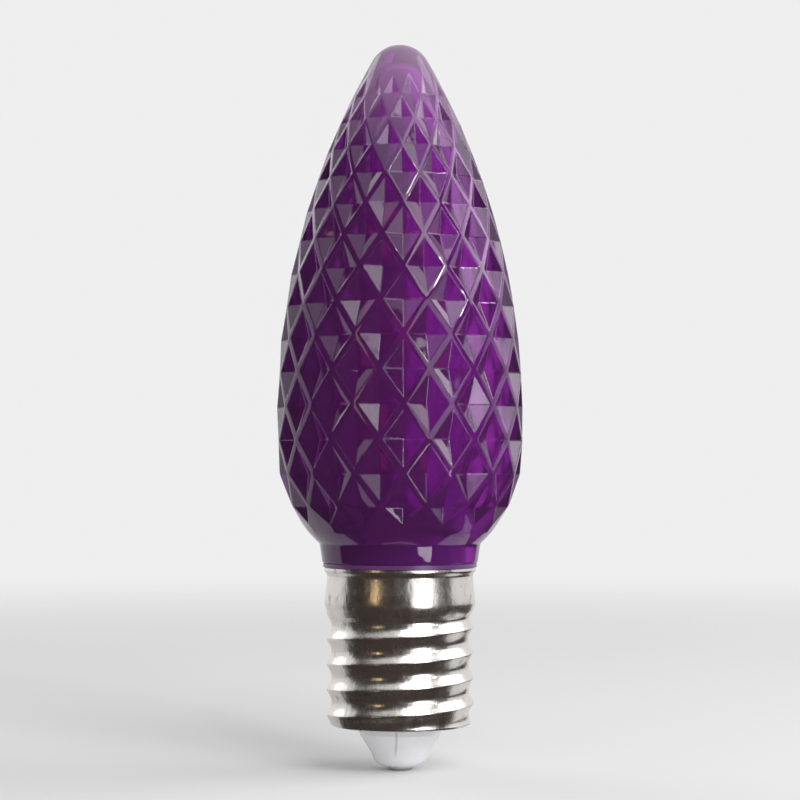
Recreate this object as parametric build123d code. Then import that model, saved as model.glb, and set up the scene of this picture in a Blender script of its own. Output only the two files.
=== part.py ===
# Faceted lamp for a string of lights, on an intermediate screw base (16.5 mm thread).
# Millimetres, +Z up. The origin is on the axis, at the flat of the centre contact.
# The lamp points up; the front of the board faces -Y before board_turn.
from build123d import *

import os
from math import acos, atan2, cos, degrees, hypot, pi, radians, sin, sqrt

# Heights of the stack, from the contact upwards
tip_height = 5.0            # contact face to the bottom of the screw shell
shell_height = 17.6         # screw shell, bottom to top
flange_height = 0.45        # rim of the holder between shell and lens
lens_height = 58.55         # lens, neck to tip

# Lens outline: a nose arc, a long arc, a straight at the widest place and a shoulder arc
lens_radius = 13.83
nose_radius = 3.6
widest_from = 13.05         # above the neck
widest_to = 16.55
shoulder_radius = 14.8
neck_band_top = 9.05        # radius of the plain neck band, above and below
neck_band_bottom = 8.75
neck_edge = 0.15            # small chamfer at the foot of the band
lens_wall = 2.4             # from the outside of the ridges to the smooth inside
cavity_nose_radius = 1.8
neck_bore = 7.5

# Diamond facets: rows of sunken four-sided pits between narrow ridges
facets_round = 16
facet_turn = 1.75           # degrees from the front to the nearest ridge crossing
first_row = 6.35            # height of the lowest crossings above the neck
row_step = 3.75             # from one row of crossings to the next at the widest place
row_shrink = 0.35           # power of the radius by which the steps close up at the nose
pit_depth = 1.25            # at the widest place, less where the lens is narrower
ridge_width = 0.62
last_pit_share = 0.62       # the lowest pits are cut short by the shoulder
facet_margin = 0.45         # plain strip between the pits and the turned nose and neck
plain_nose = 3.0            # at least this far from the highest crossings to the tip

# Screw shell: drawn sheet, beaded at the top, with a rolled thread
sheet = 0.3
rim_radius = 8.5
waist_radius = 8.16
barrel_radius = 8.45
waist_depth = 2.0           # below the top of the shell
barrel_depth = 4.1
thread_top_depth = 5.9
thread_crest = 8.25
thread_root = 7.67
thread_pitch = 2.822        # nine turns to the inch
crest_left = 3.74           # height of a crest on the -X side above the shell bottom
thread_run_in = 1.2         # length over which the thread rises from the plain band
sections_per_turn = 12
floor_hole = 4.75           # hole in the turned-in bottom of the shell
bottom_edge = 0.25          # rounding of the bottom corner
bottom_edge_steps = 3

# Insulator and centre contact
fit = 0.05                  # clearance between pieces that fit in each other
insulator_flange = 1.6
cone_top = 4.6
cone_straight = 0.9         # length of the boss below the shell before it tapers
cone_low = 3.15
cone_low_height = 1.75
cone_bulge = 0.43           # how far the round end stands out from a straight taper
contact_head = 1.45
contact_head_height = 0.45
contact_flat = 0.95
contact_shank = 0.75
contact_bore = 0.42
contact_roll = 1.25
contact_roll_height = 0.35

# Holder between lens and shell
flange_radius = 8.62
spigot_height = 2.9
holder_wall = 1.0
holder_floor = 1.4
skirt_length = 4.0

# Circuit board and what sits on it
board_turn = 20.0           # degrees about the axis, towards +X
board_width = 9.0
board_tail_width = 7.0
board_thickness = 1.0
board_top = 44.4            # above the neck of the lens
board_gap = 1.75            # from the rolled end of the contact to the board
led_size = (3.5, 2.8, 1.1)
led_window = 1.15
led_window_depth = 0.15
led_top_gap = 6.6           # from the top of the board to the highest lamp
led_step = 6.0
led_count = 5
rectifier_size = (4.7, 3.9, 2.3)
rectifier_gap = 0.3         # from its upper leads to the can of the capacitor
rectifier_lead = (0.6, 0.8, 0.3)
rectifier_lead_step = 2.5
capacitor_radius = 2.5
capacitor_length = 4.6
capacitor_gap = 0.35        # below the floor of the holder
capacitor_seal = 0.5
resistor_count = 4
resistor_size = (3.1, 1.6, 0.55)
resistor_cap = 0.45
resistor_column = 1.75
resistor_first = 2.3        # centre of the upper row, below the top of the shell
resistor_step = 2.4
wire_radius = 0.28
wire_bend = 1.0
wire_reach = 1.4            # length of a lead that lies along the board
wire_slope = 1.3            # height over which a lead crosses to its place
wire_entry = 0.2            # above the bottom of the rivet's bore
solder_radius = 0.6         # at the board
solder_top = 0.4            # over the lead
solder_height = 0.72
solder_rise = 0.35
shell_lead_low = 9.6        # lower end of the lead, below the top of the shell
shell_lead_end = 4.8        # upper end of the lead, below the top of the shell
shell_lead_radius = 6.9     # from the axis to the upper end of the lead
shell_solder_radius = 0.95
shell_solder_reach = 0.6    # from the lead to the middle of its solder

# Places that follow from the sizes above
shell_bottom = tip_height
shell_top = shell_bottom + shell_height
lens_bottom = shell_top + flange_height
lens_tip = lens_bottom + lens_height
widest_low = lens_bottom + widest_from
widest_high = lens_bottom + widest_to
nose_height = lens_tip - nose_radius
nose_reach = nose_height - widest_high
flank_radius = (lens_radius**2 + nose_reach**2 - nose_radius**2) / (2 * (lens_radius - nose_radius))
flank_centre = lens_radius - flank_radius
shoulder_centre = lens_radius - shoulder_radius
half_step = pi / facets_round
floor_top = lens_bottom + holder_floor - flange_height
floor_bottom = floor_top - holder_floor
thread_mean = (thread_crest + thread_root) / 2
thread_swing = (thread_crest - thread_root) / 2
contact_seat = shell_bottom + sheet + insulator_flange
contact_top = contact_seat + contact_roll_height
board_low = contact_top + board_gap
board_high = lens_bottom + board_top
capacitor_low = floor_bottom - capacitor_gap - capacitor_length


def outline_radius(z):
    """Radius of the smooth outside of the lens at height z, over the ridges."""
    if z >= widest_high:
        return flank_centre + sqrt(flank_radius**2 - (z - widest_high)**2)
    if z >= widest_low:
        return lens_radius
    return shoulder_centre + sqrt(shoulder_radius**2 - (widest_low - z)**2)


def shoulder_height(radius, inset):
    """Height at which the shoulder, moved inwards by inset, has the given radius."""
    rise = sqrt((shoulder_radius - inset)**2 - (radius - shoulder_centre)**2)
    return widest_low - rise


def tangent_nose(radius, inset):
    """Centre height of the nose circle that touches the long arc moved inwards by inset."""
    return widest_high + sqrt((flank_radius - inset - radius)**2 - flank_centre**2)


def on_arc(centre_r, centre_z, radius, angle):
    """Point at a radius and an angle in degrees from +X about a centre in the XZ plane."""
    return (centre_r + radius * cos(radians(angle)), centre_z + radius * sin(radians(angle)))


def body_of_revolution(inset, nose, foot_radius, foot_height, low_radius):
    """Solid inside the lens outline moved inwards by inset, closed at foot_height."""
    nose_z = tangent_nose(nose, inset)
    turn = degrees(atan2(nose_z - widest_high, -flank_centre))
    start = shoulder_height(foot_radius, inset)
    slope = -degrees(acos((foot_radius - shoulder_centre) / (shoulder_radius - inset)))
    flank, shoulder = flank_radius - inset, shoulder_radius - inset
    with BuildPart() as body:
        with BuildSketch(Plane.XZ):
            with BuildLine():
                Line((0, foot_height), (low_radius, foot_height))
                Line((low_radius, foot_height), (foot_radius, start))
                ThreePointArc(
                    (foot_radius, start),
                    on_arc(shoulder_centre, widest_low, shoulder, slope / 2),
                    (lens_radius - inset, widest_low),
                )
                Line((lens_radius - inset, widest_low), (lens_radius - inset, widest_high))
                ThreePointArc(
                    (lens_radius - inset, widest_high),
                    on_arc(flank_centre, widest_high, flank, turn / 2),
                    on_arc(flank_centre, widest_high, flank, turn),
                )
                ThreePointArc(
                    on_arc(flank_centre, widest_high, flank, turn),
                    on_arc(0, nose_z, nose, (turn + 90) / 2),
                    (0, nose_z + nose),
                )
                Line((0, nose_z + nose), (0, foot_height))
            make_face()
        revolve(axis=Axis.Z)
    return body.part


def row_heights():
    """Heights of the rows of ridge crossings, from the row under the lowest pits upwards."""
    heights = [lens_bottom + first_row - last_pit_share * row_step]
    height = lens_bottom + first_row
    while height <= lens_tip - plain_nose:
        heights.append(height)
        height += row_step * (outline_radius(height) / lens_radius)**row_shrink
    return heights


def at(angle, z, depth=0.0):
    """Point under the lens outline: angle in radians, height z, depth below the outline."""
    radius = outline_radius(z) - depth
    return Vector(radius * cos(angle), radius * sin(angle), z)


def facet_cell(rows, level, angle):
    """Corners of one pit, inset by half a ridge from the crossings round it, and its middle."""
    low, middle, high = rows[level:level + 3]
    size = outline_radius(middle) / lens_radius
    ridge = ridge_width * size / 2
    across = outline_radius(middle) * half_step
    rise, fall = high - middle, middle - low
    narrow = ridge * hypot(across, rise) / rise / across * half_step
    return {
        "top": at(angle, high - ridge * hypot(across, rise) / across),
        "bottom": at(angle, low + ridge * hypot(across, fall) / across),
        "left": at(angle - half_step + narrow, middle),
        "right": at(angle + half_step - narrow, middle),
        "middle": at(angle, middle, pit_depth * size),
    }


def facet_net():
    """Triangles of pits and ridges, seen from outside anticlockwise, and the two end rings."""
    rows = row_heights()
    levels = len(rows) - 2
    places = 2 * facets_round
    angle = [radians(facet_turn - 90) + half_step * place for place in range(places)]
    foot = [at(a, rows[0] - facet_margin) for a in angle]
    head = [at(a, rows[-1] + facet_margin) for a in angle]
    cell = {
        (level, place): facet_cell(rows, level, angle[place])
        for level in range(levels)
        for place in range(level % 2, places, 2)
    }
    faces = []
    for (level, place), pit in cell.items():
        left, right, top, bottom = (pit[corner] for corner in ("left", "right", "top", "bottom"))
        ahead, behind = (place + 1) % places, (place - 1) % places
        sides = ((bottom, right), (right, top), (top, left), (left, bottom))
        faces += [(*side, pit["middle"]) for side in sides]
        # The strips over the pit lead to the next row, or to the ring at the nose
        if level + 1 < levels:
            after, before = cell[level + 1, ahead], cell[level + 1, behind]
            faces += [(right, after["bottom"], after["left"]), (right, after["left"], top)]
            faces += [(left, top, before["right"]), (left, before["right"], before["bottom"])]
            over = after["bottom"]
        else:
            faces += [(right, head[ahead], head[place]), (right, head[place], top)]
            faces += [(left, top, head[place]), (left, head[place], head[behind])]
            over = head[ahead]
        if level == 0:
            faces += [(left, foot[behind], foot[place]), (left, foot[place], bottom)]
            faces += [(bottom, foot[place], foot[ahead]), (bottom, foot[ahead], right)]
            under = foot[ahead]
        else:
            under = cell[level - 1, ahead]["top"]
        # The crossing between this pit and the next one in its row
        beside = cell[level, (place + 2) % places]["left"]
        faces += [(under, beside, over), (under, over, right)]
    return faces, foot, head


def faceted_band():
    """Closed solid between the two end rings of the facet net."""
    faces, foot, head = facet_net()
    walls = [Face(Wire.make_polygon(points, close=True)) for points in faces]
    walls += [Face(Wire.make_polygon(ring, close=True)) for ring in (foot, head)]
    return Solid(Shell(walls)), foot[0].Z, head[0].Z


def make_lens():
    """Faceted envelope: turned foot and nose, the diamond net between them, smooth inside."""
    net, low, high = faceted_band()
    full = body_of_revolution(0, nose_radius, neck_band_top, lens_bottom, neck_band_bottom)
    width = 4 * lens_radius
    foot = full & Pos(0, 0, (lens_bottom + low) / 2) * Box(width, width, low - lens_bottom)
    nose = full & Pos(0, 0, (lens_tip + high) / 2) * Box(width, width, lens_tip - high)
    cavity = body_of_revolution(lens_wall, cavity_nose_radius, neck_bore, lens_bottom, neck_bore)
    lens = foot + net + nose - cavity
    foot_edges = lens.edges().filter_by(GeomType.CIRCLE).group_by(Axis.Z)[0]
    return chamfer(foot_edges.sort_by(SortBy.RADIUS)[-1], neck_edge)


def band_radius(z):
    """Mean radius of the outside of the shell at height z: bead, waist, barrel, thread."""
    stations = [
        (shell_top, rim_radius),
        (shell_top - waist_depth, waist_radius),
        (shell_top - barrel_depth, barrel_radius),
        (shell_top - thread_top_depth, thread_mean),
    ]
    for (high, upper), (low, lower) in zip(stations, stations[1:]):
        if z >= low:
            blend = (1 - cos(pi * (high - z) / (high - low))) / 2
            return upper + (lower - upper) * blend
    return thread_mean


def thread_offset(z):
    """Sideways place of the round section at height z, which makes the rolled thread."""
    start = shell_top - thread_top_depth
    rise = min(max((start + thread_run_in - z) / thread_run_in, 0), 1)
    turn = pi + 2 * pi * (z - shell_bottom - crest_left) / thread_pitch
    swing = thread_swing * (1 - cos(pi * rise)) / 2
    return (swing * cos(turn), swing * sin(turn))


def shell_round(z, inset=0.0):
    """Round section of the shell at height z, moved inwards by inset."""
    return Wire.make_circle(band_radius(z) - inset, Plane((*thread_offset(z), z)))


def shell_stacks(inset, low, high):
    """Solid stacks of round sections between two heights, one stack to a turn of the thread."""
    count = round((high - low) / thread_pitch * sections_per_turn)
    rounds = [shell_round(low + (high - low) * step / count, inset) for step in range(count + 1)]
    starts = range(0, count, sections_per_turn)
    return [Solid.make_loft(rounds[start:start + sections_per_turn + 1]) for start in starts]


def end_wire(stack, axis):
    """Outline of the last flat end of a stack along an axis."""
    return stack.faces().filter_by(GeomType.PLANE).sort_by(axis)[-1].outer_wire()


def side_faces(stacks):
    """The faces of stacks between their flat ends."""
    return [face for stack in stacks for face in stack.faces() if face.geom_type != GeomType.PLANE]


def room_stacks():
    """The room inside the screw shell, from its floor to its top, as stacks."""
    return shell_stacks(sheet, shell_bottom + sheet, shell_top)


def shell_room():
    """The room inside the screw shell as one solid."""
    stacks = room_stacks()
    ends = [Face(end_wire(stacks[0], -Axis.Z)), Face(end_wire(stacks[-1], Axis.Z))]
    return Solid(Shell(side_faces(stacks) + ends))


def make_screw_shell():
    """Drawn shell of sheet metal with a rolled thread and a turned-in floor."""
    wall = shell_stacks(0, shell_bottom + bottom_edge, shell_top)
    room = room_stacks()
    # The rounded corner at the foot is a few cones on a quarter circle
    corner = []
    for step in range(bottom_edge_steps + 1):
        turn = pi / 2 * step / bottom_edge_steps
        z = shell_bottom + bottom_edge * (1 - cos(turn))
        place = Plane((*thread_offset(shell_bottom + bottom_edge), z))
        radius = band_radius(shell_bottom) - bottom_edge * (1 - sin(turn))
        corner.append(Wire.make_circle(radius, place))
    edge = Solid.make_loft(corner, ruled=True)
    floor_heights = (shell_bottom, shell_bottom + sheet)
    rims = [Wire.make_circle(floor_hole, Plane((0, 0, z))) for z in floor_heights]
    faces = side_faces([*wall, *room, edge, Solid.make_loft(rims)])
    faces += [
        Face(end_wire(wall[-1], Axis.Z), [end_wire(room[-1], Axis.Z)]),
        Face(end_wire(edge, -Axis.Z), [rims[0]]),
        Face(end_wire(room[0], -Axis.Z), [rims[1]]),
    ]
    return Solid(Shell(faces))


def turned(points):
    """Solid of revolution about Z of a closed outline of (radius, height) corners."""
    with BuildPart() as piece:
        with BuildSketch(Plane.XZ):
            with BuildLine():
                Polyline(*points, close=True)
            make_face()
        revolve(axis=Axis.Z)
    return piece.part


def make_insulator():
    """Moulded cone: a flange inside the shell, a boss through its floor, a round end."""
    room_low = shell_bottom + sheet
    flange = thread_root - sheet - fit
    hole = contact_shank + fit
    low = contact_head_height
    neck = (cone_top, shell_bottom - cone_straight)
    waist = (cone_low, cone_low_height)
    end = (contact_head + fit, low)
    taper = Vector(waist[0] - end[0], waist[1] - end[1])
    out = Vector(taper.Y, -taper.X).normalized() * cone_bulge
    bulge = ((waist[0] + end[0]) / 2 + out.X, (waist[1] + end[1]) / 2 + out.Y)
    with BuildPart() as piece:
        with BuildSketch(Plane.XZ):
            with BuildLine():
                Polyline(
                    end, (hole, low), (hole, room_low + insulator_flange),
                    (flange, room_low + insulator_flange), (flange, room_low),
                    (cone_top, room_low), neck, waist,
                )
                ThreePointArc(waist, bulge, end)
            make_face()
        revolve(axis=Axis.Z)
    return piece.part


def make_centre_contact():
    """Tubular rivet: low domed head, shank through the insulator, rolled over inside."""
    return turned([
        (0, 0), (contact_flat, 0), (contact_head, contact_head_height - fit),
        (contact_head, contact_head_height), (contact_shank, contact_head_height),
        (contact_shank, contact_seat), (contact_roll, contact_seat), (contact_roll, contact_top),
        (contact_bore, contact_top), (contact_bore, contact_head_height), (0, contact_head_height),
    ])


def board_turned(shape):
    """Turns a shape made with the board across X to the place of the real board."""
    return Rot(0, 0, board_turn) * shape


def make_base_holder():
    """Purple moulding: flange, spigot in the lens, skirt in the shell, floor with a slot."""
    spigot = neck_bore - fit
    skirt = waist_radius - sheet - fit
    top = lens_bottom + spigot_height
    low = shell_top - skirt_length
    body = turned([
        (0, floor_bottom), (skirt - holder_wall, floor_bottom), (skirt - holder_wall, low),
        (skirt, low), (skirt, shell_top), (flange_radius, shell_top),
        (flange_radius, lens_bottom), (spigot, lens_bottom), (spigot, top),
        (spigot - holder_wall, top), (spigot - holder_wall, floor_top), (0, floor_top),
    ])
    slot = Box(board_tail_width + 2 * fit, board_thickness + 2 * fit, 4 * holder_floor)
    return body - board_turned(Pos(0, 0, floor_top) * slot)


def make_board():
    """Glass-fibre strip on edge: wide above the holder, a narrower tail below."""
    upper = Box(board_width, board_thickness, board_high - floor_top)
    tail = Box(board_tail_width, board_thickness, floor_top - board_low)
    strip = Pos(0, 0, (floor_top + board_high) / 2) * upper
    return board_turned(strip + Pos(0, 0, (board_low + floor_top) / 2) * tail)


def make_led(number):
    """Surface-mounted lamp with a sunken round window, on the front or back by turns."""
    wide, tall, deep = led_size
    z = board_high - led_top_gap - (number - 1) * led_step
    case = Pos(0, -(board_thickness + deep) / 2, z) * Box(wide, deep, tall)
    case = chamfer(case.edges().group_by(Axis.Y)[0], led_window_depth)
    front = -(board_thickness / 2 + deep)
    window = Pos(0, front, z) * Rot(90, 0, 0) * Cylinder(led_window, 2 * led_window_depth)
    lamp = case - window
    return board_turned(Rot(0, 0, 0 if number % 2 else 180) * lamp)


def make_rectifier():
    """Bridge rectifier under the capacitor: flat case with two leads above and two below."""
    wide, tall, deep = rectifier_size
    lead_wide, lead_long, lead_thick = rectifier_lead
    z = capacitor_low - rectifier_gap - lead_long - tall / 2
    case = Pos(0, -(board_thickness + deep) / 2, z) * Box(wide, deep, tall)
    case = chamfer(case.edges().group_by(Axis.Y)[0], 2 * lead_thick)
    reach = tall + 2 * lead_long
    for side in (-1, 1):
        lead = Pos(side * rectifier_lead_step / 2, -(board_thickness + lead_thick) / 2, z)
        case += lead * Box(lead_wide, lead_thick, reach)
    return board_turned(case)


def make_capacitor():
    """Can of the smoothing capacitor, upright against the front of the board tail."""
    y = -(board_thickness / 2 + capacitor_radius)
    can = Cylinder(capacitor_radius, capacitor_length)
    groove = Torus(capacitor_radius, capacitor_seal / 2)
    can = Pos(0, y, capacitor_low + capacitor_length / 2) * can
    return board_turned(can - Pos(0, y, capacitor_low + 3 * capacitor_seal) * groove)


def make_resistor(number):
    """Chip resistor with raised metal ends, on the back of the board tail."""
    wide, tall, deep = resistor_size
    column = resistor_column if number % 2 else -resistor_column
    z = shell_top - resistor_first - (number - 1) // 2 * resistor_step
    y = (board_thickness + deep) / 2
    chip = Pos(column, y, z) * Box(wide - 2 * resistor_cap, deep, tall)
    for side in (-1, 1):
        end = Pos(column + side * (wide - resistor_cap) / 2, y, z)
        chip += end * Box(resistor_cap, deep, tall)
    return board_turned(chip)


def make_lead(points):
    """Round wire along straight runs joined by bends."""
    path = FilletPolyline(*points, radius=wire_bend)
    section = Plane(origin=path @ 0, z_dir=path % 0) * Circle(wire_radius)
    return sweep(section, path)


def make_contact_lead():
    """Wire from the bore of the rivet up to the front of the board."""
    across = -(board_thickness / 2 + wire_radius + fit)
    start = board_low
    high = start + wire_reach
    return board_turned(make_lead([
        (0, 0, contact_head_height + wire_entry), (0, 0, start - wire_slope),
        (0, across, start), (0, across, high),
    ]))


def make_shell_lead():
    """Wire from the back of the board up to the inside of the shell's plain band."""
    near = board_thickness / 2 + wire_radius + fit
    low, high = shell_top - shell_lead_low, shell_top - shell_lead_end
    return board_turned(make_lead([
        (0, near, low), (0, near, low + wire_reach),
        (0, shell_lead_radius, high - wire_reach / 2), (0, shell_lead_radius, high),
    ]))


def make_contact_solder(lead):
    """Solder that fills the top of the rivet's bore round the lead."""
    high = contact_top + solder_rise
    return turned([
        (0, contact_seat), (contact_bore, contact_seat), (contact_bore, contact_top),
        (contact_roll - 2 * fit, contact_top), (wire_radius + 2 * fit, high), (0, high),
    ]) - lead


def make_board_solder(z, side, lead):
    """Cone of solder over a lead, on the front (side -1) or the back (side 1) of the board."""
    middle = side * (board_thickness / 2 + solder_height / 2)
    bead = Pos(0, middle, z) * Rot(-90 * side, 0, 0) * Cone(solder_radius, solder_top, solder_height)
    return board_turned(bead) - lead


def make_shell_solder(lead):
    """Bead that joins the upper end of the lead to the wall of the shell."""
    z = shell_top - shell_lead_end - wire_reach / 4
    bead = Pos(0, shell_lead_radius + shell_solder_reach, z) * Sphere(shell_solder_radius)
    return (board_turned(bead) & shell_room()) - lead


def build():
    """Every piece by name."""
    contact_lead = make_contact_lead()
    shell_lead = make_shell_lead()
    shell_joint = shell_top - shell_lead_low + wire_reach / 2
    pieces = {
        "lens": make_lens(),
        "base_holder": make_base_holder(),
        "screw_shell": make_screw_shell(),
        "insulator": make_insulator(),
        "centre_contact": make_centre_contact(),
        "circuit_board": make_board(),
        "bridge_rectifier": make_rectifier(),
        "smoothing_capacitor": make_capacitor(),
        "contact_lead": contact_lead,
        "shell_lead": shell_lead,
        "contact_solder": make_contact_solder(contact_lead),
        "shell_solder": make_shell_solder(shell_lead),
        "board_solder_1": make_board_solder(board_low + wire_reach / 2, -1, contact_lead),
        "board_solder_2": make_board_solder(shell_joint, 1, shell_lead),
    }
    for number in range(1, led_count + 1):
        pieces[f"led_{number}"] = make_led(number)
    for number in range(1, resistor_count + 1):
        pieces[f"resistor_{number}"] = make_resistor(number)
    return pieces


os.makedirs("parts", exist_ok=True)
for name, piece in build().items():
    export_step(piece, f"parts/{name}.step")
    print(name, round(piece.volume, 2))
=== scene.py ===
"""Dresses the faceted string-light bulb: clear purple lens, nickel screw base, board inside."""

import logging
import math
from dataclasses import dataclass
from enum import Enum
from typing import ClassVar

import bpy
import numpy as np
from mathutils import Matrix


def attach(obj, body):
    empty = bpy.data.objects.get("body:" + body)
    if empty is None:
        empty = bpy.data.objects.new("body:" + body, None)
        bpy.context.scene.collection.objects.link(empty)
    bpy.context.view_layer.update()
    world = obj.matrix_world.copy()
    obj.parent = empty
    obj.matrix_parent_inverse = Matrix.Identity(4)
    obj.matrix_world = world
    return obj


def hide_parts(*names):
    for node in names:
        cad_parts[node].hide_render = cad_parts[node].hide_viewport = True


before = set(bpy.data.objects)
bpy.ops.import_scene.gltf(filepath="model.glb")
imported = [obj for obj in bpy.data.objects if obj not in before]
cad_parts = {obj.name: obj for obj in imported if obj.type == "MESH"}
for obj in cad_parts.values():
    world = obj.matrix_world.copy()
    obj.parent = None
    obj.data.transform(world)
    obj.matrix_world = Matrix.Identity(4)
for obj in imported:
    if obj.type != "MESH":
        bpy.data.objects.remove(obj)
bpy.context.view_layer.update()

MM = 0.001
BODY = "root"

log = logging.getLogger("bulb")


class Space(Enum):
    """Which rays of light a part of a material answers to."""

    SHADOW = "Is Shadow Ray"
    CAMERA = "Is Camera Ray"
    GLOSSY = "Is Glossy Ray"
    TRANSMISSION = "Is Transmission Ray"


class Bands(Enum):
    """Direction of the lines in a striped wear pattern."""

    ROUND = "Z"
    UPRIGHT = "X"


class Mark(Enum):
    """What is drawn in the tone of a moulded part."""

    NONE = "none"
    # Painted shade: a thin grey upright line that stands for the shade in a narrow groove.
    GROOVE_SHADE = "seam"
    # Painted shade: the lip is darker than the rest of the part, standing for the shade between lens and
    # shell.
    LIP_SHADE = "lip"
    TRACKS = "tracks"


class Nodes:
    """Short way to build a material's node tree."""

    def __init__(self, name: str) -> None:
        """Starts an empty material.

        Args:
            name: Name of the material.
        """
        self.material = bpy.data.materials.new(name)
        self.material.use_nodes = True
        self.tree = self.material.node_tree
        self.tree.nodes.clear()
        self.output = self.add("ShaderNodeOutputMaterial")

    def add(self, kind: str, **values: object) -> bpy.types.Node:
        """Adds a node and sets its properties or its input values.

        Args:
            kind: Blender's name of the node type.
            values: Properties, or inputs with underscores for spaces.

        Returns:
            The new node.
        """
        node = self.tree.nodes.new(kind)
        for key, value in values.items():
            if hasattr(node, key):
                setattr(node, key, value)
            else:
                node.inputs[key.replace("_", " ")].default_value = value
        return node

    def link(self, source: bpy.types.NodeSocket, target: bpy.types.NodeSocket) -> None:
        """Joins an output socket to an input socket."""
        self.tree.links.new(source, target)

    def place(self) -> bpy.types.NodeSocket:
        """Returns the object coordinates, in metres in the frame of the part."""
        return self.add("ShaderNodeTexCoord").outputs["Object"]

    def noise(self, scale: float, detail: float, stretch: tuple = (1, 1, 1)) -> bpy.types.NodeSocket:
        """Adds a noise pattern over the object coordinates.

        Args:
            scale: Cells per metre.
            detail: Octaves of finer noise.
            stretch: Scale along each axis.

        Returns:
            The grey output of the noise.
        """
        mapping = self.add("ShaderNodeMapping")
        mapping.inputs["Scale"].default_value = stretch
        self.link(self.place(), mapping.inputs["Vector"])
        noise = self.add("ShaderNodeTexNoise", Scale=scale, Detail=detail)
        self.link(mapping.outputs[0], noise.inputs["Vector"])
        return noise.outputs["Fac"]

    def ramp(self, source: bpy.types.NodeSocket, stops: list) -> bpy.types.NodeSocket:
        """Maps a grey value to colours.

        Args:
            source: Grey socket.
            stops: Pairs of position and linear colour.

        Returns:
            The colour output of the ramp.
        """
        node = self.add("ShaderNodeValToRGB")
        ramp = node.color_ramp
        for _ in stops[2:]:
            ramp.elements.new(0.5)
        for element, (position, colour) in zip(ramp.elements, stops):
            element.position = position
            element.color = colour
        self.link(source, node.inputs["Fac"])
        return node.outputs["Color"]

    def spread(self, source: bpy.types.NodeSocket, low: float, high: float) -> bpy.types.NodeSocket:
        """Maps a value of nought to one onto the range from low to high.

        Args:
            source: Value socket.
            low: Result at nought.
            high: Result at one.

        Returns:
            The mapped value.
        """
        node = self.add("ShaderNodeMapRange")
        node.inputs["To Min"].default_value = low
        node.inputs["To Max"].default_value = high
        self.link(source, node.inputs["Value"])
        return node.outputs["Result"]

    def window(self, source: bpy.types.NodeSocket, none: float, full: float) -> bpy.types.NodeSocket:
        """Maps one value to nought and another to one, evenly between them and clipped outside.

        Args:
            source: Value socket.
            none: Value that gives nought.
            full: Value that gives one.

        Returns:
            The mapped value.
        """
        node = self.add("ShaderNodeMapRange")
        node.inputs["From Min"].default_value = none
        node.inputs["From Max"].default_value = full
        self.link(source, node.inputs["Value"])
        return node.outputs["Result"]

    def bump(self, source: bpy.types.NodeSocket, height: float, strength: float) -> bpy.types.NodeSocket:
        """Turns a grey value into a bumped normal.

        Args:
            source: Grey socket.
            height: Height of a full step in metres.
            strength: Share of the bump that is used.

        Returns:
            The normal output.
        """
        node = self.add("ShaderNodeBump")
        node.inputs["Distance"].default_value = height
        node.inputs["Strength"].default_value = strength
        self.link(source, node.inputs["Height"])
        return node.outputs["Normal"]


@dataclass(frozen=True)
class ClearPurple:
    """Dyed clear plastic: smooth outside, frosted inside, milky towards the tip.

    Light dims with the way through it. The tip's heights are in millimetres.
    """

    name: str = "clear_purple"
    tint: tuple = (0.60, 0.13, 0.69, 1.0)
    haze: float = 0.07
    tip_haze: float = 0.30
    tip_from: float = 69.0
    tip_to: float = 80.5
    tip_tint: tuple = (0.78, 0.45, 0.82, 1.0)
    dye: tuple = (0.62, 0.10, 0.67, 1.0)
    density: float = 430.0
    ior: float = 1.58
    polish: float = 0.0125
    scuff: float = 0.04
    polish_scale: float = 900.0
    frost: float = 0.24
    wave_scale: float = 260.0
    wave_height: float = 0.00004
    wave_strength: float = 0.5
    shadow_tint: tuple = (0.50, 0.16, 0.54, 1.0)

    def build(self) -> bpy.types.Material:
        """Makes the plastic, which lets lamps shine into the lens.

        Returns:
            The new material.
        """
        n = Nodes(self.name)
        plastic = n.add("ShaderNodeBsdfPrincipled")
        plastic.inputs["IOR"].default_value = self.ior
        axes = n.add("ShaderNodeSeparateXYZ")
        n.link(n.place(), axes.inputs[0])
        tip = n.window(axes.outputs["Z"], self.tip_from * MM, self.tip_to * MM)
        n.link(n.ramp(tip, [(0, self.tint), (1, self.tip_tint)]), plastic.inputs["Base Color"])
        n.link(n.spread(tip, 1 - self.haze, 1 - self.tip_haze), plastic.inputs["Transmission Weight"])
        inside = n.add("ShaderNodeAttribute", attribute_name=Lens.INSIDE)
        rough = n.add("ShaderNodeMath", operation="MAXIMUM")
        n.link(n.spread(n.noise(self.polish_scale, 3), self.polish, self.scuff), rough.inputs[0])
        n.link(n.spread(inside.outputs["Fac"], 0.0, self.frost), rough.inputs[1])
        n.link(rough.outputs[0], plastic.inputs["Roughness"])
        waves = n.bump(n.noise(self.wave_scale, 2), self.wave_height, self.wave_strength)
        n.link(waves, plastic.inputs["Normal"])
        lets_through = n.add("ShaderNodeBsdfTransparent")
        lets_through.inputs["Color"].default_value = self.shadow_tint
        rays = n.add("ShaderNodeLightPath")
        mix = n.add("ShaderNodeMixShader")
        n.link(rays.outputs[Space.SHADOW.value], mix.inputs[0])
        n.link(plastic.outputs[0], mix.inputs[1])
        n.link(lets_through.outputs[0], mix.inputs[2])
        n.link(mix.outputs[0], n.output.inputs["Surface"])
        volume = n.add("ShaderNodeVolumeAbsorption")
        volume.inputs["Color"].default_value = self.dye
        volume.inputs["Density"].default_value = self.density
        n.link(volume.outputs[0], n.output.inputs["Volume"])
        return n.material


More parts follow.
